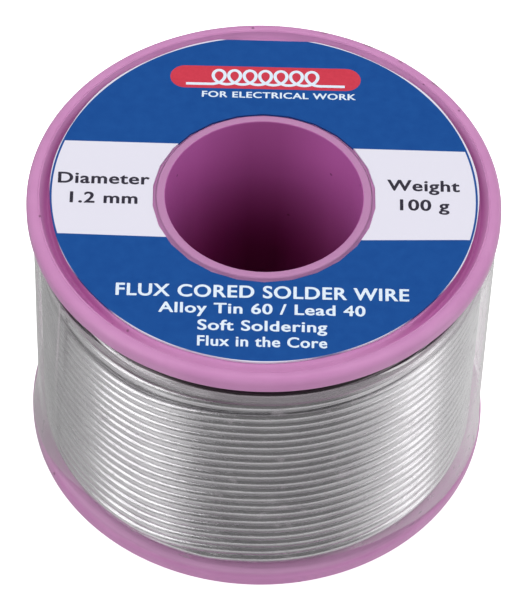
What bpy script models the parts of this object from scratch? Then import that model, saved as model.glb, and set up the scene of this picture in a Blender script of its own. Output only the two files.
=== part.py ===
"""Solder wire spool: two flanges on a bore tube and a winding barrel, four layers of wire, a label and a film sleeve.

Units are metres. +Z runs up the spool's axis, and the spool stands on its lower flange at z = 0.
"""

import math

import bmesh
import bpy

# Spool
FLANGE_RADIUS = 0.0240
SPOOL_HEIGHT = 0.0344
FLANGE_THICKNESS = 0.0019
RIM_ROUNDING = 0.0007
RIM_LAND_INNER_RADIUS = 0.0228
RECESS_RADIUS = 0.0213
RECESS_DEPTH = 0.00045
GROOVE_INNER_RADIUS = 0.0217
GROOVE_OUTER_RADIUS = 0.0222
GROOVE_DEPTH = 0.00105
BORE_RADIUS = 0.0100
BORE_TUBE_WALL = 0.0009
BORE_TUBE_ROUNDING = 0.00025
BARREL_WALL = 0.0015
HUB_BOSS_WALL = 0.0010
HUB_BOSS_HEIGHT = 0.0030
LOCATING_RING_WALL = 0.0008
LOCATING_RING_HEIGHT = 0.0020

# Winding
WIRE_DIAMETER = 0.0012
CORE_DIAMETER = 0.0004
LAYERS = 4
OUTER_LAYER_TURNS = 20
LAYER_PITCH = 0.00104
OUTER_LAYER_RADIUS = 0.02215
OUTER_LAYER_TOP = 0.0273
LAYER_WALL = 0.00072
FREE_END_HEIGHT = 0.0282
FREE_END_START = -230.0
FREE_END_FINISH = 115.0

# Label and film
LABEL_OUTER_RADIUS = 0.0217
LABEL_INNER_RADIUS = 0.0114
LABEL_THICKNESS = 0.00015
LABEL_OFFSET = 0.0004
FILM_THICKNESS = 0.00015

# Clearances
GAP = 0.0003
WIRE_GAP = 0.0002
LABEL_GAP = 0.0001
CORE_GAP = 0.0001

# Facets
ROUND_STEPS = 48
CORNER_STEPS = 3
ARC_STEP = 7.5

BARREL_RADIUS = OUTER_LAYER_RADIUS - (LAYERS - 1) * LAYER_PITCH - WIRE_DIAMETER / 2
WINDING_BOTTOM = FLANGE_THICKNESS + WIRE_GAP
WINDING_TOP = SPOOL_HEIGHT - WINDING_BOTTOM

PINK = (0.560, 0.255, 0.445)
SOLDER = (0.62, 0.62, 0.62)
ROSIN = (0.55, 0.33, 0.10)
LABEL_BLUE = (0.012, 0.076, 0.296)
FILM = (0.85, 0.87, 0.88)


def clear_scene():
    for thing in list(bpy.data.objects):
        bpy.data.objects.remove(thing, do_unlink=True)


def new_collection(name):
    group = bpy.data.collections.new(name)
    bpy.context.scene.collection.children.link(group)
    return group


def new_material(name, colour, roughness, metallic=0.0, alpha=1.0):
    material = bpy.data.materials.new(name)
    material.use_nodes = True
    shader = material.node_tree.nodes["Principled BSDF"]
    shader.inputs["Base Color"].default_value = (*colour, 1.0)
    shader.inputs["Roughness"].default_value = roughness
    shader.inputs["Metallic"].default_value = metallic
    shader.inputs["Alpha"].default_value = alpha
    return material


def add_object(name, mesh, group, material=None):
    thing = bpy.data.objects.new(name, mesh)
    group.objects.link(thing)
    if material is not None:
        mesh.materials.append(material)
    return thing


def corner(centre, radius, start, finish):
    """Points of a round corner in the (radius, height) plane, from one angle to another in degrees."""
    points = []
    for step in range(CORNER_STEPS + 1):
        angle = math.radians(start + (finish - start) * step / CORNER_STEPS)
        points.append((centre[0] + radius * math.cos(angle), centre[1] + radius * math.sin(angle)))
    return points


def turned(name, profile, group, material):
    """A closed (radius, height) loop, given clockwise seen from -Y, turned round the Z axis."""
    mesh = bpy.data.meshes.new(name)
    form = bmesh.new()
    corners = [form.verts.new((radius, 0.0, height)) for radius, height in profile]
    for index, vertex in enumerate(corners):
        form.edges.new((vertex, corners[(index + 1) % len(corners)]))
    form.to_mesh(mesh)
    form.free()
    thing = add_object(name, mesh, group, material)
    screw = thing.modifiers.new("Turn", "SCREW")
    screw.axis = "Z"
    screw.angle = math.tau
    screw.steps = ROUND_STEPS
    screw.render_steps = ROUND_STEPS
    screw.use_merge_vertices = True
    screw.merge_threshold = 0.000001
    screw.use_smooth_shade = True
    return thing


def flange_profile():
    """The upper flange's outline, outer side first: rim, inner face with its two rings, recess, groove by the rim."""
    top = SPOOL_HEIGHT
    inner_face = SPOOL_HEIGHT - FLANGE_THICKNESS
    floor = SPOOL_HEIGHT - RECESS_DEPTH
    hole = BORE_RADIUS + BORE_TUBE_WALL + GAP
    ring_outer = BARREL_RADIUS - BARREL_WALL - GAP
    ring_inner = ring_outer - LOCATING_RING_WALL
    boss = hole + HUB_BOSS_WALL
    arc_radius = FLANGE_RADIUS - RIM_ROUNDING
    profile = corner((arc_radius, top - RIM_ROUNDING), RIM_ROUNDING, 90, 0)
    profile += corner((arc_radius, inner_face + RIM_ROUNDING), RIM_ROUNDING, 0, -90)
    profile += [(ring_outer, inner_face), (ring_outer, inner_face - LOCATING_RING_HEIGHT)]
    profile += [(ring_inner, inner_face - LOCATING_RING_HEIGHT), (ring_inner, inner_face)]
    profile += [(boss, inner_face), (boss, inner_face - HUB_BOSS_HEIGHT)]
    profile += [(hole, inner_face - HUB_BOSS_HEIGHT), (hole, floor)]
    profile += [(RECESS_RADIUS, floor), (GROOVE_INNER_RADIUS, top - GROOVE_DEPTH)]
    profile += [(GROOVE_OUTER_RADIUS, top - GROOVE_DEPTH), (RIM_LAND_INNER_RADIUS, top)]
    return profile


def mirrored(profile):
    """The same outline on the other flange: heights measured from the other end, and the loop's order turned round."""
    return [(radius, SPOOL_HEIGHT - height) for radius, height in reversed(profile)]


def tube_profile(inner, outer, bottom, top):
    return [(outer, top), (outer, bottom), (inner, bottom), (inner, top)]


def bore_tube_profile():
    outer = BORE_RADIUS + BORE_TUBE_WALL
    shoulder = outer - BORE_TUBE_ROUNDING
    profile = corner((shoulder, SPOOL_HEIGHT - BORE_TUBE_ROUNDING), BORE_TUBE_ROUNDING, 90, 0)
    profile += corner((shoulder, BORE_TUBE_ROUNDING), BORE_TUBE_ROUNDING, 0, -90)
    return profile + [(BORE_RADIUS, 0.0), (BORE_RADIUS, SPOOL_HEIGHT)]


def layer_radius(layer):
    """Radius of the wire's centre in a layer, counted from 1 at the barrel."""
    return OUTER_LAYER_RADIUS - (LAYERS - layer) * LAYER_PITCH


def inner_layer_profile(layer):
    """An inner layer as a plain ring, half the clearance short of the wire's true surface on each side."""
    radius = layer_radius(layer)
    return tube_profile(radius - LAYER_WALL / 2, radius + LAYER_WALL / 2, WINDING_BOTTOM, WINDING_TOP)


def outer_layer_profile():
    """The outermost layer, which ends short of the upper flange. Its outside rises and falls once for each turn."""
    pitch = (OUTER_LAYER_TOP - WINDING_BOTTOM) / OUTER_LAYER_TURNS
    crest = OUTER_LAYER_RADIUS + WIRE_DIAMETER / 2
    valley = OUTER_LAYER_RADIUS + WIRE_DIAMETER / 8
    inner = OUTER_LAYER_RADIUS - LAYER_WALL / 2
    profile = [(valley, OUTER_LAYER_TOP)]
    for turn in range(OUTER_LAYER_TURNS):
        profile.append((crest, OUTER_LAYER_TOP - (turn + 0.5) * pitch))
        profile.append((valley, OUTER_LAYER_TOP - (turn + 1) * pitch))
    return profile + [(inner, WINDING_BOTTOM), (inner, OUTER_LAYER_TOP)]


def solid_from_curve(name, curve, group, material):
    """Turns a bevelled curve into a mesh whose end caps are welded to its sides."""
    guide = add_object(name + "_guide", curve, group)
    evaluated = guide.evaluated_get(bpy.context.evaluated_depsgraph_get())
    mesh = bpy.data.meshes.new_from_object(evaluated)
    bpy.data.objects.remove(guide, do_unlink=True)
    form = bmesh.new()
    form.from_mesh(mesh)
    bmesh.ops.remove_doubles(form, verts=form.verts, dist=0.000001)
    form.to_mesh(mesh)
    form.free()
    mesh.name = name
    return add_object(name, mesh, group, material)


def arc_curve(name, start, finish, diameter):
    """A wire lying on the last turn's circle, between two angles in degrees."""
    curve = bpy.data.curves.new(name, "CURVE")
    curve.dimensions = "3D"
    curve.bevel_depth = diameter / 2
    curve.bevel_resolution = 2
    curve.use_fill_caps = True
    count = max(3, round((finish - start) / ARC_STEP) + 1)
    spline = curve.splines.new("POLY")
    spline.points.add(count - 1)
    for index, point in enumerate(spline.points):
        angle = math.radians(start + (finish - start) * index / (count - 1))
        point.co = (
            OUTER_LAYER_RADIUS * math.cos(angle),
            OUTER_LAYER_RADIUS * math.sin(angle),
            FREE_END_HEIGHT,
            1.0,
        )
    return curve


def cut_away(thing, cutter):
    cutter.hide_render = True
    cutter.display_type = "WIRE"
    boolean = thing.modifiers.new("Core hole", "BOOLEAN")
    boolean.operation = "DIFFERENCE"
    boolean.solver = "EXACT"
    boolean.object = cutter


def build_spool(group, pink):
    turned("upper_flange", flange_profile(), group, pink)
    turned("lower_flange", mirrored(flange_profile()), group, pink)
    turned("bore_tube", bore_tube_profile(), group, pink)
    barrel_end = FLANGE_THICKNESS + GAP
    barrel = tube_profile(BARREL_RADIUS - BARREL_WALL, BARREL_RADIUS, barrel_end, SPOOL_HEIGHT - barrel_end)
    turned("winding_barrel", barrel, group, pink)


def build_winding(group, cutters, solder, rosin):
    for layer in range(1, LAYERS):
        turned(f"wire_layer_{layer}", inner_layer_profile(layer), group, solder)
    turned(f"wire_layer_{LAYERS}", outer_layer_profile(), group, solder)
    end_curve = arc_curve("wire_free_end", FREE_END_START, FREE_END_FINISH, WIRE_DIAMETER)
    free_end = solid_from_curve("wire_free_end", end_curve, group, solder)
    core_start = FREE_END_FINISH - 6.0
    hole_curve = arc_curve("core_hole", core_start, FREE_END_FINISH + 6.0, CORE_DIAMETER + 2 * CORE_GAP)
    cut_away(free_end, solid_from_curve("core_hole", hole_curve, cutters, None))
    core_curve = arc_curve("rosin_core", core_start + 1.0, FREE_END_FINISH, CORE_DIAMETER)
    solid_from_curve("rosin_core", core_curve, group, rosin)


def build_wrapping(group, paper, film):
    label_bottom = SPOOL_HEIGHT - RECESS_DEPTH + LABEL_GAP
    ring = tube_profile(LABEL_INNER_RADIUS, LABEL_OUTER_RADIUS, label_bottom, label_bottom + LABEL_THICKNESS)
    label = turned("face_label", ring, group, paper)
    label.location.y = LABEL_OFFSET
    film_inner = OUTER_LAYER_RADIUS + WIRE_DIAMETER / 2 + GAP
    film_end = FLANGE_THICKNESS + GAP
    sleeve = tube_profile(film_inner, film_inner + FILM_THICKNESS, film_end, SPOOL_HEIGHT - film_end)
    turned("film_sleeve", sleeve, group, film)


def main():
    clear_scene()
    parts = new_collection("solder_wire_spool")
    cutters = new_collection("cutters")
    pink = new_material("pink_plastic", PINK, 0.35)
    solder = new_material("solder", SOLDER, 0.25, metallic=1.0)
    rosin = new_material("rosin", ROSIN, 0.30)
    paper = new_material("label_paper", LABEL_BLUE, 0.35)
    film = new_material("clear_film", FILM, 0.05, alpha=0.2)
    build_spool(parts, pink)
    build_winding(parts, cutters, solder, rosin)
    build_wrapping(parts, paper, film)
    bpy.context.view_layer.update()


main()
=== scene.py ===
"""Looks of the solder wire spool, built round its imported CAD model.

Units are metres. +Z runs up the spool's axis, and the spool stands at z = 0.
"""

import math

import bpy
import numpy as np
from mathutils import Matrix, Vector


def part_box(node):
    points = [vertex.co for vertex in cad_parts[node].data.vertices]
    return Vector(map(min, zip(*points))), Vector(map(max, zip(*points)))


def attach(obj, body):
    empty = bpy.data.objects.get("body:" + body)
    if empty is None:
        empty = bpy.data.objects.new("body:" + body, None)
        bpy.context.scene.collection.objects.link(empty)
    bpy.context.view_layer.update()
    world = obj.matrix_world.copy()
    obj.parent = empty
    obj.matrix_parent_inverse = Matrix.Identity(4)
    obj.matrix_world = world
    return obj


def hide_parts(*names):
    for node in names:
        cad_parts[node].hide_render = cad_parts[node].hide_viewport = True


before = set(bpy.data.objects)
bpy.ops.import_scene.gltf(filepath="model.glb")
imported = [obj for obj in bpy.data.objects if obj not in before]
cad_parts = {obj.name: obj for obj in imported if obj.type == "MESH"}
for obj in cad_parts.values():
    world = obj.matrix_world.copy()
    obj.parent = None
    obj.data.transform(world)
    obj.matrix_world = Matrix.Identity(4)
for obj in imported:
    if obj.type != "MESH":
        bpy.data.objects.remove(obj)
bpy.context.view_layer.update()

MM = 0.001
TAU = math.tau

# Sizes read from the frame
FLANGE_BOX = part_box("upper_flange")
FLANGE_RADIUS = FLANGE_BOX[1].x
SPOOL_HEIGHT = FLANGE_BOX[1].z
BORE_TUBE_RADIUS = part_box("bore_tube")[1].x
BARREL_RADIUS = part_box("winding_barrel")[1].x
WINDING_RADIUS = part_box("wire_free_end")[1].x
WIRE_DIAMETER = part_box("wire_free_end")[1].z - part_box("wire_free_end")[0].z
LABEL_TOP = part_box("face_label")[1].z

# Spool details
FLANGE_THICKNESS = 1.9 * MM
BORE_RADIUS = 10.0 * MM
RECESS_DEPTH = 0.45 * MM
RECESS_RADIUS = 21.3 * MM
GROOVE_DEPTH = 1.05 * MM
RIM_LAND_RADIUS = 22.8 * MM
RIM_ROUNDING = 0.8 * MM
RIM_UNDERCUT = 0.5 * MM
HUB_BOSS_WALL = 1.2 * MM
HUB_BOSS_HEIGHT = 3.0 * MM
LOCATING_RING_WALL = 0.8 * MM
LOCATING_RING_HEIGHT = 2.0 * MM
GROOVE_MIDDLE = RECESS_RADIUS + 0.86 * MM

# Winding details. Turns climb with a growing angle, counted from +X towards +Y.
OUTER_LAYER_RADIUS = WINDING_RADIUS - WIRE_DIAMETER / 2
LAYER_PITCH = 1.04 * MM
LAYER_START = math.radians(200)
CROSSING_START = math.radians(234)
CROSSING_WIDTH = math.radians(36)
FIRST_TURN_HEIGHT = 1.52 * MM
LOOSE_PITCH = 1.345 * MM
TIGHT_PITCH = 1.13 * MM
OUTER_TURNS = 20.76
HIDDEN_START = math.radians(80)
LAST_TURN_GAP = 0.60 * MM

# Print on the label, seen from above with +Y up
LABEL_CENTRE = Vector((0.0, 0.40 * MM))
PRINT_CENTRE = Vector((-0.03 * MM, 0.84 * MM))
PRINT_TURN = math.radians(0.3)
PRINT_RADIUS = 21.62 * MM
PRINT_RING_SHIFT = 0.49 * MM
BAND_HALF = 6.06 * MM
BAND_TAPER = 0.008
BAND_BULGE = 0.25
INK_THICKNESS = 0.004 * MM
EMBLEM_HEIGHT_ON_LABEL = 15.4 * MM
EMBLEM_LENGTH = 19.7 * MM
EMBLEM_HEIGHT = 3.1 * MM

# Floor and camera
FLOOR_HALF_SIZE = 3.0
FLOOR_DROP = 0.00002
BORE_SHADE_RADIUS = 12 * MM
BORE_SHADE_DROP = 0.00001
CAMERA_ELEVATION = math.radians(50.48)
CAMERA_ROLL = math.radians(1.55)
CAMERA_DISTANCE = 0.41456
CAMERA_TARGET = Vector((-0.0028, 0.0, 0.01768))
CAMERA_LENS = 238.97
CAMERA_SHIFT_X = 0.0508
SOFTBOX_DISTANCE = 0.8


# ---------------------------------------------------------------- meshes

def new_object(name, verts, faces, smooth_angle=35.0):
    mesh = bpy.data.meshes.new(name)
    mesh.from_pydata([tuple(v) for v in verts], [], [tuple(f) for f in faces])
    mesh.validate()
    mesh.shade_smooth()
    mesh.set_sharp_from_angle(angle=math.radians(smooth_angle))
    piece = bpy.data.objects.new(name, mesh)
    bpy.context.scene.collection.objects.link(piece)
    return piece


def smooth(share):
    """Eases a share from 0 to 1, level at both ends."""
    return share * share * (3 - 2 * share)


def arc(centre, radius, start, finish, steps=8):
    """Points of a round corner in the (radius, height) plane, between two angles in degrees."""
    angles = [math.radians(start + (finish - start) * i / steps) for i in range(steps + 1)]
    return [(centre[0] + radius * math.cos(a), centre[1] + radius * math.sin(a)) for a in angles]


def lathe(name, profile, steps=256, shape=None):
    """Turns a closed (radius, height) loop, given outer side downwards, round Z.

    shape, where it is given, moves the points: it takes and returns their radius and height.
    """
    profile = np.array(profile, float)
    count = len(profile)
    angle = np.arange(steps) * TAU / steps
    radius = np.repeat(profile[None, :, 0], steps, 0)
    height = np.repeat(profile[None, :, 1], steps, 0)
    angle = np.repeat(angle[:, None], count, 1)
    if shape is not None:
        radius, height = shape(radius, height, angle)
    verts = np.stack([radius * np.cos(angle), radius * np.sin(angle), height], -1).reshape(-1, 3)
    ring, step = np.meshgrid(np.arange(count), np.arange(steps))
    a = step * count + ring
    b = step * count + (ring + 1) % count
    c = ((step + 1) % steps) * count + (ring + 1) % count
    d = ((step + 1) % steps) * count + ring
    faces = np.stack([a, b, c, d], -1).reshape(-1, 4)
    return new_object(name, verts, faces)


def sweep(name, path, radius, sides):
    """A round wire along a path, with flat ends. The cross-section keeps upright to Z."""
    path = np.array(path, float)
    along = np.gradient(path, axis=0)
    along /= np.linalg.norm(along, axis=1)[:, None]
    across = np.cross(along, (0, 0, 1))
    across /= np.linalg.norm(across, axis=1)[:, None]
    up = np.cross(across, along)
    turn = np.arange(sides) * TAU / sides
    offset = across[:, None, :] * np.cos(turn)[None, :, None]
    offset = offset + up[:, None, :] * np.sin(turn)[None, :, None]
    verts = (path[:, None, :] + radius * offset).reshape(-1, 3)
    side, step = np.meshgrid(np.arange(sides), np.arange(len(path) - 1))
    a = step * sides + side
    b = step * sides + (side + 1) % sides
    faces = np.stack([a, b, b + sides, a + sides], -1).reshape(-1, 4).tolist()
    faces.append(list(range(sides))[::-1])
    faces.append(list(range((len(path) - 1) * sides, len(path) * sides)))
    return new_object(name, verts, faces, 60.0)


# ---------------------------------------------------------------- materials

class Nodes:
    """A short way to write a material's node tree."""

    def __init__(self, name, world=False):
        self.owner = (bpy.data.worlds if world else bpy.data.materials).new(name)
        self.owner.use_nodes = True
        self.tree = self.owner.node_tree
        self.tree.nodes.clear()
        self.output = self.add("OUTPUT_WORLD" if world else "OUTPUT_MATERIAL")

    def add(self, kind, values=None, **properties):
        kind = kind if kind.startswith("ShaderNode") else NODE_TYPES[kind]
        node = self.tree.nodes.new(kind)
        for key, value in properties.items():
            setattr(node, key, value)
        for key, value in (values or {}).items():
            if isinstance(value, bpy.types.NodeSocket):
                self.tree.links.new(value, node.inputs[key])
            else:
                node.inputs[key].default_value = value
        return node

    def math(self, operation, *values, clamp=False):
        node = self.add("MATH", dict(enumerate(values)), operation=operation, use_clamp=clamp)
        return node.outputs[0]

    def product(self, first, *others):
        """The values multiplied together, in the order given."""
        for value in others:
            first = self.math("MULTIPLY", first, value)
        return first

    def length(self, x, y):
        """How far a point lies from the axis."""
        return self.math("SQRT", self.math("ADD", self.math("POWER", x, 2.0), self.math("POWER", y, 2.0)))

    def mix(self, factor, first, second):
        """The first colour where the factor is 0, the second where it is 1."""
        node = self.add("MIX", data_type="RGBA")
        for key, value in (("Factor", factor), ("A", first), ("B", second)):
            socket = next(s for s in node.inputs if s.name == key and s.enabled)
            if isinstance(value, bpy.types.NodeSocket):
                self.tree.links.new(value, socket)
            else:
                socket.default_value = value
        return next(s for s in node.outputs if s.enabled)

    def blend(self, factor, first, second):
        """The first number where the factor is 0, the second where it is 1."""
        gap = self.math("SUBTRACT", second, first)
        return self.math("ADD", first, self.math("MULTIPLY", gap, factor))

    def ramp(self, value, low, high, to_low=0.0, to_high=1.0):
        """to_low at and before low, to_high at and past high, and even in between."""
        values = {"Value": value, "From Min": low, "From Max": high, "To Min": to_low, "To Max": to_high}
        return self.add("MAP_RANGE", values, clamp=True).outputs["Result"]

    def place(self, turn=0.0, shift=(0.0, 0.0, 0.0)):
        """Object coordinates in millimetres, turned about Z and shifted."""
        coordinates = self.add("COORD").outputs["Object"]
        values = {
            "Vector": coordinates,
            "Scale": (1000.0, 1000.0, 1000.0),
            "Rotation": (0.0, 0.0, turn),
            "Location": shift,
        }
        return self.add("MAPPING", values).outputs["Vector"]

    def noise(self, vector, scale, detail):
        values = {"Vector": vector, "Scale": scale, "Detail": detail}
        return self.add("NOISE", values).outputs["Fac"]

    def bump(self, height, strength, distance):
        values = {"Height": height, "Strength": strength, "Distance": distance}
        return self.add("BUMP", values).outputs["Normal"]

    def finish(self, shader):
        self.tree.links.new(shader, self.output.inputs["Surface"])
        return self.owner


NODE_TYPES = {
    "OUTPUT_MATERIAL": "ShaderNodeOutputMaterial",
    "OUTPUT_WORLD": "ShaderNodeOutputWorld",
    "PRINCIPLED": "ShaderNodeBsdfPrincipled",
    "MATH": "ShaderNodeMath",
    "MIX": "ShaderNodeMix",
    "MAP_RANGE": "ShaderNodeMapRange",
    "COORD": "ShaderNodeTexCoord",
    "MAPPING": "ShaderNodeMapping",
    "NOISE": "ShaderNodeTexNoise",
    "VORONOI": "ShaderNodeTexVoronoi",
    "BUMP": "ShaderNodeBump",
    "SEPARATE": "ShaderNodeSeparateXYZ",
    "COMBINE": "ShaderNodeCombineXYZ",
}


def srgb(red, green, blue):
    """A colour given as sRGB bytes, as linear values."""
    values = [v / 255 for v in (red, green, blue)]
    return (*[v / 12.92 if v <= 0.04045 else ((v + 0.055) / 1.055) ** 2.4 for v in values], 1.0)


def pink_plastic():
    """Moulded plastic: satin, faintly mottled, scuffed on the rim, with painted shade in the grooves, under
    the upper flange between the flanges and in the bore, and a painted paler ledge and a painted greyish
    reflection on the lower flange.

    The masks work in millimetres: radius from the axis, z up, middle counted both ways from half the height.
    """
    n = Nodes("pink_plastic")
    place = n.place()
    parts = n.add("SEPARATE", {"Vector": place})
    x, y, z = parts.outputs["X"], parts.outputs["Y"], parts.outputs["Z"]
    radius = n.length(x, y)
    top = SPOOL_HEIGHT / MM
    face = top / 2
    mottle = n.noise(place, 0.22, 3.0)
    fine = n.noise(place, 3.0, 3.0)
    base = n.mix(n.ramp(mottle, 0.35, 0.65), srgb(202, 137, 188), srgb(207, 143, 193))
    middle = n.math("ABSOLUTE", n.math("SUBTRACT", z, face))
    # Painted shade in the grooves by the rim, deeper at the sides than at the front and back
    groove = n.product(
        n.ramp(middle, face - 0.05, face - 0.80),
        n.ramp(radius, 22.95, 22.0),
        n.ramp(middle, face - 1.35, face - 1.20),
        n.ramp(radius, 11.0, 11.25),
        n.ramp(y, 8.0, 17.0, 1.0, 0.1),
        n.ramp(y, -17.5, -21.0, 1.0, 0.3),
    )
    base = n.mix(groove, base, srgb(184, 100, 164))
    # Painted light: a paler ledge painted on the lower flange's inner face
    ledge_painted_light = n.product(n.ramp(z, 1.3, 1.7), n.ramp(z, 3.0, 2.5), n.ramp(radius, 23.8, 23.4))
    base = n.mix(ledge_painted_light, base, srgb(232, 176, 220))
    # Painted shade in the space under the upper flange
    inside = n.product(
        n.ramp(z, top - 1.80, top - 2.0),
        n.ramp(radius, 10.6, 11.2),
        n.ramp(z, top - 8.0, top - 6.0),
    )
    base = n.mix(n.product(inside, 0.85), base, srgb(60, 24, 50))
    # Painted reflection: the lower flange's edge on the -X side is painted greyish
    turn = n.math("ARCTAN2", y, x)
    from_left = n.math("ABSOLUTE", n.math("SUBTRACT", n.math("ABSOLUTE", turn), math.pi))
    low_edge = n.product(n.ramp(z, 2.5, 2.2), n.ramp(radius, 22.0, 22.5))
    left_edge_painted_reflection = n.product(n.ramp(from_left, 0.55, 0.25), low_edge)
    base = n.mix(n.product(left_edge_painted_reflection, n.ramp(z, 0.0, 2.0, 0.45, 0.85)), base, srgb(184, 166, 180))
    collar = n.product(n.ramp(radius, 11.3, 11.1), n.ramp(middle, face - 2.0, face - 1.0))
    base = n.mix(collar, base, srgb(189, 133, 178))
    # Painted shade on the bore's wall, darker further down and across the middle
    depth = n.ramp(z, top - 8.0, top - 20.0)
    wall = n.mix(depth, srgb(206, 112, 190), srgb(188, 92, 158))
    across = n.ramp(n.math("ABSOLUTE", x), 7.0, 1.5)
    wall = n.mix(n.product(across, n.blend(depth, 0.30, 0.75)), wall, srgb(104, 24, 68))
    bore = n.ramp(radius, 10.10, 10.0)
    base = n.mix(bore, base, wall)
    # Scuffs on one stretch of the upper rim, and a few specks
    side = n.math("ABSOLUTE", n.math("SUBTRACT", turn, math.radians(60)))
    worn = n.product(
        n.ramp(side, math.radians(26), math.radians(16)),
        n.ramp(radius, 23.2, 23.55),
        n.ramp(z, top - 1.6, top - 1.2),
        n.ramp(n.noise(place, 0.9, 3.0), 0.54, 0.62, 0.0, 0.8),
    )
    base = n.mix(worn, base, srgb(112, 80, 84))
    specks = n.add("VORONOI", {"Vector": place, "Scale": 0.30, "Randomness": 1.0}).outputs["Distance"]
    base = n.mix(n.ramp(specks, 0.035, 0.060, 0.7, 0.0), base, srgb(110, 55, 92))
    rough = n.ramp(fine, 0.3, 0.7, 0.28, 0.40)
    normal = n.bump(fine, 0.12, 0.02 * MM)
    values = {"Base Color": base, "Roughness": rough, "Normal": normal}
    values["Specular IOR Level"] = n.blend(bore, 0.45, 0.12)
    return n.finish(n.add("PRINCIPLED", values).outputs["BSDF"])


def solder():
    """Drawn wire: fine lines along it, faint patches, and painted shade where covered layers show near the
    top.
    """
    n = Nodes("solder_wire")
    coordinates = n.add("COORD").outputs["Object"]
    parts = n.add("SEPARATE", {"Vector": coordinates})
    x, y, z = parts.outputs["X"], parts.outputs["Y"], parts.outputs["Z"]
    angle = n.math("ARCTAN2", y, x)
    radial = n.length(x, y)
    # Stretched along the wire: 3 to a radian round the spool, 9 to a millimetre across the wire
    along = {
        "X": n.product(angle, 3.0),
        "Y": n.product(radial, 9000.0),
        "Z": n.product(z, 9000.0),
    }
    drawn = n.noise(n.add("COMBINE", along).outputs[0], 1.0, 3.0)
    patch = n.noise(n.place(), 0.25, 3.0)
    base = n.mix(n.ramp(patch, 0.3, 0.7), srgb(207, 204, 208), srgb(221, 219, 222))
    # Painted shade on the covered layers near the top
    covered = n.product(n.ramp(radial, 21.76 * MM, 21.72 * MM), n.ramp(z, 28.4 * MM, 29.0 * MM))
    base = n.mix(n.product(covered, 0.85), base, srgb(70, 52, 62))
    rough = n.ramp(drawn, 0.3, 0.7, 0.20, 0.32)
    normal = n.bump(drawn, 0.25, 0.02 * MM)
    values = {"Base Color": base, "Metallic": 1.0, "Roughness": rough, "Normal": normal}
    return n.finish(n.add("PRINCIPLED", values).outputs["BSDF"])


def rosin():
    """Amber resin, faintly clouded."""
    n = Nodes("rosin")
    cloud = n.noise(n.place(), 4.0, 2.0)
    base = n.mix(n.ramp(cloud, 0.3, 0.7), srgb(190, 120, 40), srgb(225, 165, 80))
    values = {"Base Color": base, "Roughness": 0.25}
    return n.finish(n.add("PRINCIPLED", values).outputs["BSDF"])


def clear_film():
    """Thin clear film: it hardly reflects where it is seen square on, and more and more towards its outline.

    It is hazy where it gathers below the upper flange, in one upright crease, and in faint smudges. Its top
    edge carries a painted glint, brightest in two stretches.
    """
    n = Nodes("clear_film")
    place = n.place()
    parts = n.add("SEPARATE", {"Vector": place})
    height = parts.outputs["Z"]
    angle = n.math("ARCTAN2", parts.outputs["Y"], parts.outputs["X"])
    normal = n.bump(n.noise(place, 0.5, 3.0), 0.15, 0.05 * MM)
    facing = n.add("ShaderNodeLayerWeight", {"Blend": 0.5, "Normal": normal}).outputs["Facing"]
    steep = n.math("POWER", facing, 5.0)
    factor = n.math("ADD", n.product(steep, 0.90), 0.045, clamp=True)
    clear = n.add("ShaderNodeBsdfTransparent", {"Color": (0.985, 0.985, 0.985, 1.0)})
    shine = {"Color": (1.0, 1.0, 1.0, 1.0), "Roughness": 0.08, "Normal": normal}
    gloss = n.add("ShaderNodeBsdfGlossy", shine)
    mixed = n.add("ShaderNodeMixShader", {0: factor, 1: clear.outputs[0], 2: gloss.outputs[0]})
    gathered_haze_and_glint = n.ramp(height, 29.5, 30.2, 0.0, 0.24)
    edge = n.ramp(height, 31.45, 31.65)
    # Painted glints: two bright stretches where the top edge comes nearest the flange, middle and reach in
    # degrees
    for centre, reach in ((241, 12), (306, 9)):
        apart = n.math("ABSOLUTE", n.math("SUBTRACT", angle, math.radians(centre - 360)))
        near = n.ramp(apart, math.radians(reach), math.radians(reach * 0.4))
        gathered_haze_and_glint = n.math("MAXIMUM", gathered_haze_and_glint, n.product(edge, near, 0.9))
    lean = n.product(n.math("SUBTRACT", height, 25.0), 0.004)
    apart = n.math("ABSOLUTE", n.math("SUBTRACT", n.math("ADD", angle, math.radians(151)), lean))
    crease = n.product(n.ramp(apart, math.radians(1.1), math.radians(0.3)), n.ramp(height, 14.0, 22.0))
    haze_and_painted_glint = n.math("MAXIMUM", gathered_haze_and_glint, n.product(crease, 0.35))
    smudge = n.ramp(n.noise(place, 0.8, 4.0), 0.62, 0.70, 0.0, 0.14)
    haze_and_painted_glint = n.math("MAXIMUM", haze_and_painted_glint, smudge)
    haze_and_glint_tint = n.mix(n.noise(place, 0.6, 2.0), srgb(210, 200, 208), srgb(222, 214, 221))
    # Painted highlight: the top edge's haze colour is painted near white
    haze_and_glint_tint = n.mix(edge, haze_and_glint_tint, srgb(250, 248, 250))
    cloud = n.add("ShaderNodeBsdfDiffuse", {"Color": haze_and_glint_tint})
    whole = n.add("ShaderNodeMixShader", {0: haze_and_painted_glint, 1: mixed.outputs[0], 2: cloud.outputs[0]})
    return n.finish(whole.outputs[0])


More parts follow.
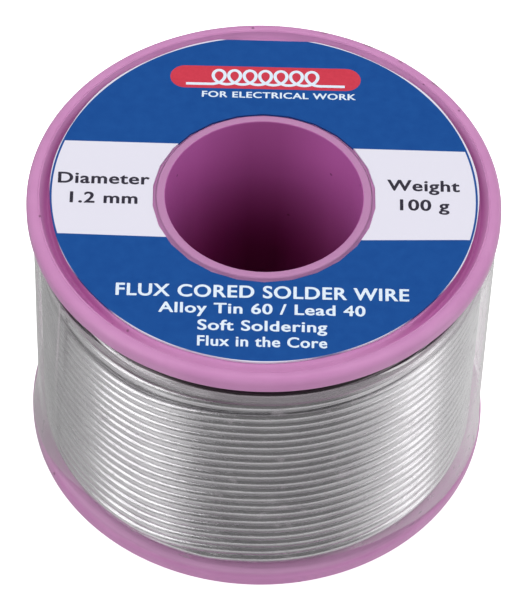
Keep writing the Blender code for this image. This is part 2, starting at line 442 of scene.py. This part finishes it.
def label_print():
    """Blue with a white band across the middle, a thin blue line round the band's ends, and a bare margin."""
    n = Nodes("label_print")
    place = n.place(turn=-PRINT_TURN, shift=(-PRINT_CENTRE.x / MM, -PRINT_CENTRE.y / MM, 0.0))
    parts = n.add("SEPARATE", {"Vector": place})
    x, y = parts.outputs["X"], parts.outputs["Y"]
    ring_y = n.math("ADD", y, PRINT_RING_SHIFT / MM)
    radius = n.length(x, ring_y)
    edge = PRINT_RADIUS / MM
    height = n.math("ABSOLUTE", n.math("ADD", y, 0.08))
    height = n.math("ADD", height, n.product(x, BAND_TAPER))
    # The band's lower edge bulges between the label's middle and its ends
    bulge = n.product(n.ramp(n.math("ABSOLUTE", x), 20.0, 10.0), n.ramp(y, -1.0, -2.0, 0.0, BAND_BULGE))
    height = n.math("SUBTRACT", height, bulge)
    band = n.ramp(height, BAND_HALF / MM - 0.02, BAND_HALF / MM + 0.02)
    line = n.ramp(radius, edge - 0.24, edge - 0.20)
    inside = n.ramp(radius, edge - 0.02, edge + 0.02, 1.0, 0.0)
    blue_share = n.product(n.math("MAXIMUM", band, line), inside)
    mottle = n.noise(place, 0.9, 4.0)
    blue = n.mix(n.ramp(mottle, 0.3, 0.7), srgb(14, 74, 148), srgb(20, 80, 154))
    base = n.mix(blue_share, srgb(231, 229, 242), blue)
    rough = n.ramp(n.noise(place, 2.0, 2.0), 0.3, 0.7, 0.42, 0.5)
    normal = n.bump(n.noise(place, 1.2, 3.0), 0.08, 0.03 * MM)
    values = {"Base Color": base, "Roughness": rough, "Normal": normal, "Specular IOR Level": 0.25}
    return n.finish(n.add("PRINCIPLED", values).outputs["BSDF"])


def ink(name, colour, other):
    """Printing ink, faintly mottled between two colours."""
    n = Nodes(name)
    base = n.mix(n.ramp(n.noise(n.place(), 3.0, 3.0), 0.3, 0.7), colour, other)
    values = {"Base Color": base, "Roughness": 0.45, "Specular IOR Level": 0.35}
    return n.finish(n.add("PRINCIPLED", values).outputs["BSDF"])


def floor_paper():
    """Pale floor paper. It gives off light of its own, so that it stays near white."""
    n = Nodes("floor_paper")
    base = n.mix(n.ramp(n.noise(n.place(), 0.02, 2.0), 0.3, 0.7), srgb(250, 250, 250), srgb(255, 255, 255))
    values = {"Base Color": base, "Roughness": 0.8, "Specular IOR Level": 0.1, "Emission Strength": 0.8}
    values["Emission Color"] = (1.0, 1.0, 1.0, 1.0)
    return n.finish(n.add("PRINCIPLED", values).outputs["BSDF"])


def bore_shade():
    """The dark disc on the floor under the bore, which keeps the floor's light out of it."""
    n = Nodes("bore_shade")
    base = n.mix(n.ramp(n.noise(n.place(), 0.5, 2.0), 0.3, 0.7), srgb(70, 24, 52), srgb(82, 30, 62))
    return n.finish(n.add("PRINCIPLED", {"Base Color": base, "Roughness": 0.9}).outputs["BSDF"])


# ---------------------------------------------------------------- pieces

def dress(piece, material, slot, *replaced):
    """Gives a piece its material and its place on the part's only body."""
    piece.data.materials.clear()
    piece.data.materials.append(material)
    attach(piece, "root")
    if replaced:
        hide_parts(*replaced)
    return piece


def repaint(node, material):
    """Gives a CAD node that stays in view a better material."""
    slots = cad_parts[node].data.materials
    slots.clear()
    slots.append(material)


def groove_shape(radius, height, angle):
    """The groove between the label and the rim is shallow at the front and back, and narrow at the front."""
    front = smooth(np.clip((-np.sin(angle) - 0.55) / 0.40, 0, 1))
    upper = (height > SPOOL_HEIGHT / 2) & (height > SPOOL_HEIGHT - 1.2 * MM)
    inner_wall = upper & (radius > RECESS_RADIUS - 0.01 * MM) & (radius < GROOVE_MIDDLE)
    outer_wall = upper & (radius >= GROOVE_MIDDLE) & (radius < RIM_LAND_RADIUS - 0.01 * MM)
    deeper = np.clip(SPOOL_HEIGHT - RECESS_DEPTH - height, 0, 1)
    back = np.clip((np.sin(angle) - 0.45) / 0.35, 0, 1)
    height = height + np.where(inner_wall | outer_wall, np.maximum(0.80 * front, 0.55 * back) * deeper, 0)
    radius = radius + np.where(inner_wall, 0.45 * front * MM, 0) + np.where(outer_wall, 0.05 * front * MM, 0)
    return radius, height


def flange_profile():
    """The upper flange down its outer side, then its inner face, hub boss, recess floor and label dish."""
    top = SPOOL_HEIGHT
    inner = top - FLANGE_THICKNESS
    floor = top - RECESS_DEPTH
    hole = BORE_TUBE_RADIUS + 0.02 * MM
    shoulder = BORE_TUBE_RADIUS + 0.38 * MM
    boss = hole + HUB_BOSS_WALL
    ring = BARREL_RADIUS - 1.8 * MM
    ring_inner = ring - LOCATING_RING_WALL
    ring_end = inner - LOCATING_RING_HEIGHT
    profile = arc((FLANGE_RADIUS - RIM_ROUNDING, top - RIM_ROUNDING), RIM_ROUNDING, 90, 0, 12)
    profile += arc((FLANGE_RADIUS - RIM_UNDERCUT, inner + RIM_UNDERCUT), RIM_UNDERCUT, 0, -90, 8)
    profile += [(ring, inner), (ring, ring_end), (ring_inner, ring_end), (ring_inner, inner)]
    profile += [(boss, inner), (boss, inner - HUB_BOSS_HEIGHT), (hole, inner - HUB_BOSS_HEIGHT)]
    profile += [(hole, top - 0.14 * MM)]
    profile += arc((shoulder, top - 0.10 * MM), RECESS_DEPTH - 0.10 * MM, 190, 270, 6)
    profile += [(RECESS_RADIUS, floor)]
    # The groove: millimetres out from the recess, and a share of the way down to its lowest line
    going_down = [(0.12, 0.10), (0.25, 0.55), (0.45, 0.95), (0.65, 1.0)]
    going_up = [(0.85, 0.88), (1.05, 0.62), (1.22, 0.30), (1.36, 0.02)]
    low = top - GROOVE_DEPTH
    profile += [(RECESS_RADIUS + x * MM, floor + (low - floor) * share) for x, share in going_down]
    profile += [(RECESS_RADIUS + x * MM, top - GROOVE_DEPTH * share) for x, share in going_up]
    profile += arc((RIM_LAND_RADIUS + 0.12 * MM, top - 0.14 * MM), 0.14 * MM, 150, 100, 4)
    return profile


def bore_tube_profile():
    top = SPOOL_HEIGHT
    outer, inner = BORE_TUBE_RADIUS, BORE_RADIUS
    rounding, break_edge = 0.25 * MM, 0.15 * MM
    profile = arc((outer - rounding, top - rounding), rounding, 90, 0)
    profile += arc((outer - rounding, rounding), rounding, 0, -90)
    profile += arc((inner + break_edge, break_edge), break_edge, -90, -180, 5)
    profile += [(inner, SPOOL_HEIGHT * share) for share in (0.25, 0.5, 0.75)]
    profile += arc((inner + break_edge, top - break_edge), break_edge, 180, 90, 5)
    return profile


def make_spool(pink):
    upper = flange_profile()
    lower = [(radius, SPOOL_HEIGHT - height) for radius, height in reversed(upper)]
    dress(lathe("upper_flange_moulding", upper, shape=groove_shape), pink, "pink_plastic", "upper_flange")
    dress(lathe("lower_flange_moulding", lower), pink, "pink_plastic", "lower_flange")
    dress(lathe("bore_tube_moulding", bore_tube_profile()), pink, "pink_plastic", "bore_tube")


def climb(angle):
    """How many pitches the wire has climbed at an angle. It climbs only in the crossing, once a turn."""
    past = np.mod(angle - CROSSING_START, TAU)
    crossing = smooth(np.clip(past / CROSSING_WIDTH, 0, 1))
    turns = np.floor((angle - CROSSING_START) / TAU)
    return turns + crossing


def turn_height(angle):
    """Height of the outer layer's centre line. The turns lie looser near the lower flange."""
    climbed = climb(angle) - climb(np.array(LAYER_START))
    change = (TIGHT_PITCH - LOOSE_PITCH) / OUTER_TURNS
    return FIRST_TURN_HEIGHT + LOOSE_PITCH * climbed + change * climbed * climbed / 2


def outer_layer_path(steps_per_turn=168):
    """The outermost layer. It starts in the layer below, and its last turn lies apart, up to the cut end."""
    count = int(OUTER_TURNS * steps_per_turn)
    turn = np.linspace(-0.06, OUTER_TURNS, count)
    angle = LAYER_START + TAU * turn
    height = np.maximum(turn_height(angle), FLANGE_THICKNESS + WIRE_DIAMETER / 2)
    last = np.clip((turn - (OUTER_TURNS - 1.25)) / 0.35, 0, 1)
    settled = np.clip((turn - (OUTER_TURNS - 0.67)) / 0.10, 0, 1)
    # The last turn first lies 1.95 gaps away, and settles to one gap
    height += LAST_TURN_GAP * smooth(last) * (1.95 - 0.95 * smooth(settled))
    sink = LAYER_PITCH * np.clip(0.06 - turn, 0, 0.12) / 0.12
    wander = np.sin(3 * angle + 1.7 * turn) + 0.7 * np.sin(7.3 * angle + 2 * turn)
    wander += 0.5 * np.sin(0.37 * angle)
    radius = OUTER_LAYER_RADIUS - sink - 0.02 * MM + 0.01 * MM * wander
    height += 0.018 * MM * np.sin(2.6 * angle + 0.9 * turn) * np.clip(turn, 0, 1)
    return np.stack([radius * np.cos(angle), radius * np.sin(angle), height], -1)


def inner_layer_path(layer, steps_per_turn=96):
    """A covered layer. Each layer runs the other way along the barrel from the one below it."""
    radius = OUTER_LAYER_RADIUS - (4 - layer) * LAYER_PITCH
    turns = 24.0
    turn = np.linspace(0, turns, int(turns * steps_per_turn))
    share = 1 - turn / turns if layer % 2 else turn / turns
    angle = HIDDEN_START + TAU * turn
    bottom = FLANGE_THICKNESS + WIRE_DIAMETER / 2 + 0.05 * MM
    height = bottom + (SPOOL_HEIGHT - 2 * bottom) * share
    return np.stack([radius * np.cos(angle), radius * np.sin(angle), height], -1)


def make_winding(metal, flux):
    outer = sweep("solder_wire_outer_layer", outer_layer_path(), WIRE_DIAMETER / 2, 18)
    dress(outer, metal, "solder_wire", "wire_layer_4", "wire_free_end")
    for layer in (1, 2, 3):
        wire = sweep(f"solder_wire_layer_{layer}", inner_layer_path(layer), WIRE_DIAMETER / 2, 8)
        dress(wire, metal, "solder_wire", f"wire_layer_{layer}")
    repaint("rosin_core", flux)


def bump_at(angle, centre, width):
    """1 near an angle in degrees, falling smoothly to 0 at the width on either side."""
    apart = np.abs(np.mod(np.degrees(angle) - centre + 180, 360) - 180)
    return smooth(np.clip(1 - apart / width, 0, 1))


def film_shape(radius, height, angle):
    """The sleeve hugs the wire on the -X side and bulges on the +X side.

    Its top edge leans out towards the flange, most in two places, and its foot flares at both sides.
    Lengths are in millimetres and angles in degrees until they are added up.
    """
    up = height / MM
    away = np.clip(np.cos(angle - math.radians(-15)), 0, 1) ** 1.5
    slack = (0.30 + 0.26 * bump_at(angle, 190, 40) + 0.62 * away) * MM
    lean = np.clip((up - (SPOOL_HEIGHT / MM - 5.2)) / 3.2, 0, 1) ** 1.6
    touch = bump_at(angle, 241, 16) + bump_at(angle, 306, 13)
    reach = (0.62 + 0.42 * touch - 0.15 * bump_at(angle, 208, 24)) * MM
    foot = np.clip((4.2 - up) / 2.2, 0, 1) ** 2
    ripple = 0.030 * np.sin(9 * angle + 0.11 * up) + 0.014 * np.sin(23 * angle - 0.3 * up)
    ripple += 0.020 * np.sin(31 * angle + 0.45 * up) * bump_at(angle, 205, 30)
    ridge = 0.22 * np.exp(-((angle - math.radians(209.0) - 0.004 * (up - 20)) / 0.013) ** 2)
    ridge += 0.05 * np.exp(-((angle - math.radians(272.0) + 0.010 * (up - 20)) / 0.012) ** 2)
    ridge *= np.clip((up - 7) / 9, 0, 1)
    out = radius + slack * (1 - lean) * (1 - 0.55 * foot) + reach * lean + (ripple * (1 - lean) + ridge) * MM
    flare = np.clip(bump_at(angle, 188, 40) + bump_at(angle, 345, 62), 0, 1)
    foot = np.clip((6.0 - up) / 3.8, 0, 1) ** 1.5
    out += (FLANGE_RADIUS - 0.06 * MM - out) * flare * foot
    gap = 1.10 + 0.95 * bump_at(angle, 204, 30) - 0.75 * touch + 0.05 * np.sin(5 * angle)
    edge = np.clip((up - (SPOOL_HEIGHT / MM - 5.2)) / 3.0, 0, 1)
    return out, height - gap * edge * MM


def make_film(film):
    """The film as a sleeve with a wall, each edge short of its flange."""
    wall = 0.05 * MM
    base = WINDING_RADIUS + 0.03 * MM
    bottom = FLANGE_THICKNESS + 0.1 * MM
    top = SPOOL_HEIGHT - FLANGE_THICKNESS - 0.06 * MM
    heights = np.linspace(top, bottom, 60)
    profile = [(base + wall, h) for h in heights] + [(base, h) for h in heights[::-1]]
    piece = lathe("clear_film_sleeve", profile, 512, film_shape)
    dress(piece, film, "clear_film", "film_sleeve")


def ring_sheet(name, outer, inner, bottom, top, steps=360):
    """A flat ring between two outlines, each a function of the angle that gives a point."""
    loops = []
    for outline, height in ((outer, top), (outer, bottom), (inner, bottom), (inner, top)):
        loops.append([(*outline(TAU * i / steps), height) for i in range(steps)])
    verts = [point for loop in loops for point in loop]
    faces = []
    for loop in range(4):
        first, second = loop * steps, ((loop + 1) % 4) * steps
        for i in range(steps):
            j = (i + 1) % steps
            faces.append((first + i, second + i, second + j, first + j))
    return new_object(name, verts, faces)


def label_outline(angle):
    """The label is cut out by hand: nearly round, with a flat at the back."""
    radius = 21.70 * MM + 0.06 * MM * math.sin(3 * angle + 0.6) + 0.05 * MM * math.sin(11 * angle)
    flat = 21.15 * MM / max(0.2, math.sin(angle)) if math.sin(angle) > 0.2 else 1.0
    radius = min(radius, flat)
    return LABEL_CENTRE.x + radius * math.cos(angle), LABEL_CENTRE.y + radius * math.sin(angle)


def label_hole(angle):
    """The hole is cut with short straight snips."""
    sides = 26
    snip = TAU / sides
    radius = 11.28 * MM * math.cos(snip / 2) / math.cos((angle + 0.1) % snip - snip / 2)
    radius += 0.04 * MM * math.sin(2 * angle + 0.8)
    return radius * math.cos(angle), radius * math.sin(angle)


def make_label(paper):
    bottom = SPOOL_HEIGHT - RECESS_DEPTH + 0.01 * MM
    piece = ring_sheet("printed_face_label", label_outline, label_hole, bottom, LABEL_TOP)
    dress(piece, paper, "label_paper", "face_label")


def print_axes():
    """The print's own axes: on the label's top, moved to the print's centre and turned with it."""
    centre = Matrix.Translation((PRINT_CENTRE.x, PRINT_CENTRE.y, LABEL_TOP))
    return centre @ Matrix.Rotation(PRINT_TURN, 4, "Z")


def print_text(name, words, size, x, y, material, stretch):
    """Lettering as thin layers of ink on the label, in the print's own axes. Shifted copies make it bold."""
    curve = bpy.data.curves.new(name, "FONT")
    curve.body = words
    curve.size = size
    curve.align_x = "CENTER"
    curve.align_y = "CENTER"
    curve.offset = size * 0.006
    curve.space_character = 1.08
    curve.resolution_u = 6
    curve.extrude = 0.006 * MM
    flat = bpy.data.objects.new(name + "_guide", curve)
    bpy.context.scene.collection.objects.link(flat)
    evaluated = flat.evaluated_get(bpy.context.evaluated_depsgraph_get())
    mesh = bpy.data.meshes.new_from_object(evaluated)
    bpy.data.objects.remove(flat, do_unlink=True)
    letters = np.array([tuple(v.co) for v in mesh.vertices])
    faces = [list(f.vertices) for f in mesh.polygons]
    bpy.data.meshes.remove(mesh)
    verts = []
    copies = []
    for i, (dx, dy) in enumerate(((-1, 0), (-0.3, 1), (0.3, -1), (1, 0))):
        verts.append(letters + [dx * 0.020 * size, dy * 0.010 * size, i * 0.002 * MM])
        copies += [[v + i * len(letters) for v in face] for face in faces]
    mesh = bpy.data.meshes.new(name)
    mesh.from_pydata(np.concatenate(verts).tolist(), [], copies)
    place = (
        Matrix.Translation((PRINT_CENTRE.x, PRINT_CENTRE.y, LABEL_TOP + 0.007 * MM))
        @ Matrix.Rotation(PRINT_TURN, 4, "Z")
        @ Matrix.Translation((x, y, 0))
        @ Matrix.Diagonal((stretch, 1, 1, 1))
    )
    mesh.transform(place)
    piece = bpy.data.objects.new(name, mesh)
    bpy.context.scene.collection.objects.link(piece)
    return dress(piece, material, "label_paper")


def pill_outline(length, height, steps=16):
    """A bar with round ends, as points running round it."""
    half, radius = length / 2 - height / 2, height / 2
    points = []
    for centre, start in ((half, -90), (-half, 90)):
        for i in range(steps + 1):
            angle = math.radians(start + 180 * i / steps)
            points.append((centre + radius * math.cos(angle), radius * math.sin(angle)))
    return points


def print_shape(name, outline, x, y, material):
    """A flat printed shape of ink, given as its outline in the print's own axes."""
    count = len(outline)
    verts = [(px + x, py + y, h) for h in (0, INK_THICKNESS) for px, py in outline]
    faces = [list(range(count, 2 * count)), list(range(count))[::-1]]
    faces += [(i, (i + 1) % count, count + (i + 1) % count, count + i) for i in range(count)]
    piece = new_object(name, verts, faces)
    piece.data.transform(print_axes())
    return dress(piece, material, "label_paper")


def print_coil(name, x, y, material):
    """The emblem: a plain drawing of a coil of wire, one looping line."""
    loops, step, radius, width = 7, 1.6 * MM, 0.98 * MM, 0.34 * MM
    turn = np.linspace(-0.25 * TAU, (loops - 0.25) * TAU, 40 * loops)
    path = np.stack([step * turn / TAU + radius * np.cos(turn), radius * np.sin(turn)], -1)
    path[:, 0] -= (path[0, 0] + path[-1, 0]) / 2
    tail = np.linspace(2.6 * MM, 0.1 * MM, 8)[:, None] * np.array([[1.0, 0.0]])
    path = np.concatenate([path[0] - tail, path, path[-1] + tail[::-1]])
    along = np.gradient(path, axis=0)
    along /= np.linalg.norm(along, axis=1)[:, None]
    side = np.stack([-along[:, 1], along[:, 0]], -1) * width / 2
    rise = np.linspace(0.0052 * MM, 0.0095 * MM, len(path))[:, None]
    left = np.concatenate([path + side, rise], 1)
    right = np.concatenate([path - side, rise], 1)
    verts = np.stack([left, right], 1).reshape(-1, 3) + np.array([x, y, 0])
    faces = [(2 * i + 1, 2 * i + 3, 2 * i + 2, 2 * i) for i in range(len(path) - 1)]
    piece = new_object(name, verts, faces)
    piece.data.transform(print_axes())
    return dress(piece, material, "label_paper")


def make_print(white_ink, dark_ink, red_ink):
    emblem = pill_outline(EMBLEM_LENGTH, EMBLEM_HEIGHT)
    print_shape("print_emblem_bar", emblem, 0.0, EMBLEM_HEIGHT_ON_LABEL, red_ink)
    print_coil("print_emblem_coil", 0.0, EMBLEM_HEIGHT_ON_LABEL, white_ink)
    # Each line: piece, words, letter size, x and y of its middle (all in millimetres), ink, stretch
    lines = (
        ("print_purpose", "FOR ELECTRICAL WORK", 1.15, 1.35, 12.95, white_ink, 1.17),
        ("print_title", "FLUX CORED SOLDER WIRE", 2.2, -0.05, -13.45, white_ink, 0.985),
        ("print_alloy", "Alloy Tin 60 / Lead 40", 1.85, 0, -15.6, white_ink, 1.12),
        ("print_use", "Soft Soldering", 1.85, 0, -17.75, white_ink, 1.12),
        ("print_core", "Flux in the Core", 1.8, 0, -19.75, white_ink, 0.98),
        ("print_size_word", "Diameter", 2.05, -16.3, 1.05, dark_ink, 1.1),
        ("print_size", "1.2 mm", 2.05, -16.3, -1.55, dark_ink, 1.1),
        ("print_weight_word", "Weight", 2.05, 16.15, 1.0, dark_ink, 1.1),
        ("print_weight", "100 g", 2.05, 16.0, -1.6, dark_ink, 1.1),
    )
    for name, words, size, x, y, material, stretch in lines:
        print_text(name, words, size * MM, x * MM, y * MM, material, stretch)


# ---------------------------------------------------------------- floor, light, camera

def make_floor():
    """The floor, and a dark disc on it under the bore, because the floor gives off light."""
    size = FLOOR_HALF_SIZE
    verts = [(-size, -size, 0), (size, -size, 0), (size, size, 0), (-size, size, 0)]
    floor = new_object("floor", verts, [(0, 1, 2, 3)])
    floor.location.z = -FLOOR_DROP
    floor.data.materials.append(floor_paper())
    floor.visible_diffuse = False
    floor.visible_glossy = False
    floor.visible_shadow = False
    sides = 64
    disc = []
    for i in range(sides):
        angle = TAU * i / sides
        x, y = BORE_SHADE_RADIUS * math.cos(angle), BORE_SHADE_RADIUS * math.sin(angle)
        disc.append((x, y, -BORE_SHADE_DROP))
    patch = new_object("floor_under_bore", disc, [tuple(range(sides))])
    patch.data.materials.append(bore_shade())


def softbox(name, azimuth, elevation, width, height, radiance):
    """A rectangular light that looks at the spool. Angles are in degrees, azimuth from +X towards +Y.

    width and height are how wide and high the light looks from the spool.
    """
    turn, lift = math.radians(azimuth), math.radians(elevation)
    middle = Vector((0, 0, SPOOL_HEIGHT / 2))
    away = Vector((math.cos(lift) * math.cos(turn), math.cos(lift) * math.sin(turn), math.sin(lift)))
    light = bpy.data.lights.new(name, "AREA")
    light.shape = "RECTANGLE"
    light.size = 2 * SOFTBOX_DISTANCE * math.tan(math.radians(width / 2))
    light.size_y = 2 * SOFTBOX_DISTANCE * math.tan(math.radians(height / 2))
    light.energy = radiance * math.pi * light.size * light.size_y
    lamp = bpy.data.objects.new(name, light)
    lamp.location = middle + SOFTBOX_DISTANCE * away
    lamp.rotation_euler = (-away).to_track_quat("-Z", "Y").to_euler()
    bpy.context.scene.collection.objects.link(lamp)
    return lamp


def make_world():
    """What the shiny surfaces mirror: a table below, paler towards the horizon, and a dim room above it."""
    n = Nodes("soft_room", world=True)
    direction = n.add("COORD").outputs["Generated"]
    parts = n.add("SEPARATE", {"Vector": direction})
    x, y, z = parts.outputs["X"], parts.outputs["Y"], parts.outputs["Z"]
    level = n.length(x, y)
    sideways = n.math("DIVIDE", n.math("ABSOLUTE", x), n.math("MAXIMUM", level, 0.001))
    right = n.math("DIVIDE", x, n.math("MAXIMUM", level, 0.001))
    left = n.product(right, -1.0)
    table = n.ramp(z, -0.80, -0.05, 0.28, 0.94)
    table = n.blend(n.ramp(left, 0.50, 0.70), table, 0.95)
    table = n.blend(n.ramp(left, 0.78, 0.92), table, 0.62)
    table = n.blend(n.ramp(right, 0.60, 0.92), table, 0.85)
    table_behind = n.ramp(x, -0.3, 0.3, 0.42, 0.72)
    behind = n.ramp(y, -0.1, 0.25)
    table = n.blend(behind, table, table_behind)
    room = n.blend(n.ramp(sideways, 0.70, 0.95), 0.16, 0.45)
    room = n.blend(behind, room, 0.28)
    strength = n.blend(n.ramp(z, -0.02, 0.06), table, room)
    background = n.add("ShaderNodeBackground", {"Color": (1.0, 1.0, 1.0, 1.0), "Strength": strength})
    bpy.context.scene.world = n.finish(background.outputs[0])


def make_light():
    """Narrow soft lights on both sides draw the bright lines on the wire. The other two only fill."""
    make_world()
    softbox("left_softbox", azimuth=205.5, elevation=36, width=18, height=52, radiance=2.1)
    softbox("right_softbox", azimuth=346, elevation=24, width=20, height=68, radiance=1.45)
    top = softbox("top_softbox", azimuth=90, elevation=74, width=60, height=26, radiance=3.4)
    fill = softbox("front_fill", azimuth=270, elevation=30, width=50, height=30, radiance=1.35)
    for lamp in (top, fill):
        lamp.visible_glossy = False
    scene = bpy.context.scene
    scene.view_settings.view_transform = "Standard"
    scene.view_settings.look = "None"


def make_camera():
    """A long lens, looking down at the spool from the front, with a slight roll."""
    forward = Vector((0.0, math.cos(CAMERA_ELEVATION), -math.sin(CAMERA_ELEVATION)))
    right = Vector((1.0, 0.0, 0.0))
    up = right.cross(forward)
    tilted_right = math.cos(CAMERA_ROLL) * right + math.sin(CAMERA_ROLL) * up
    tilted_up = -math.sin(CAMERA_ROLL) * right + math.cos(CAMERA_ROLL) * up
    camera = bpy.data.objects.new("camera", bpy.data.cameras.new("camera"))
    bpy.context.scene.collection.objects.link(camera)
    camera.data.sensor_width = 36.0
    camera.data.lens = CAMERA_LENS
    camera.data.shift_x = CAMERA_SHIFT_X
    camera.data.clip_start = 0.01
    rotation = Matrix((tilted_right, tilted_up, -forward)).transposed().to_4x4()
    camera.matrix_world = Matrix.Translation(CAMERA_TARGET - CAMERA_DISTANCE * forward) @ rotation
    bpy.context.scene.camera = camera


def main():
    pink = pink_plastic()
    metal = solder()
    make_camera()
    make_spool(pink)
    repaint("winding_barrel", pink)
    make_winding(metal, rosin())
    make_film(clear_film())
    make_label(label_print())
    white_ink = ink("white_ink", srgb(222, 236, 252), srgb(232, 244, 255))
    dark_ink = ink("dark_ink", srgb(42, 38, 54), srgb(54, 50, 64))
    red_ink = ink("red_ink", srgb(205, 55, 75), srgb(212, 60, 80))
    make_print(white_ink, dark_ink, red_ink)
    make_floor()
    make_light()


main()
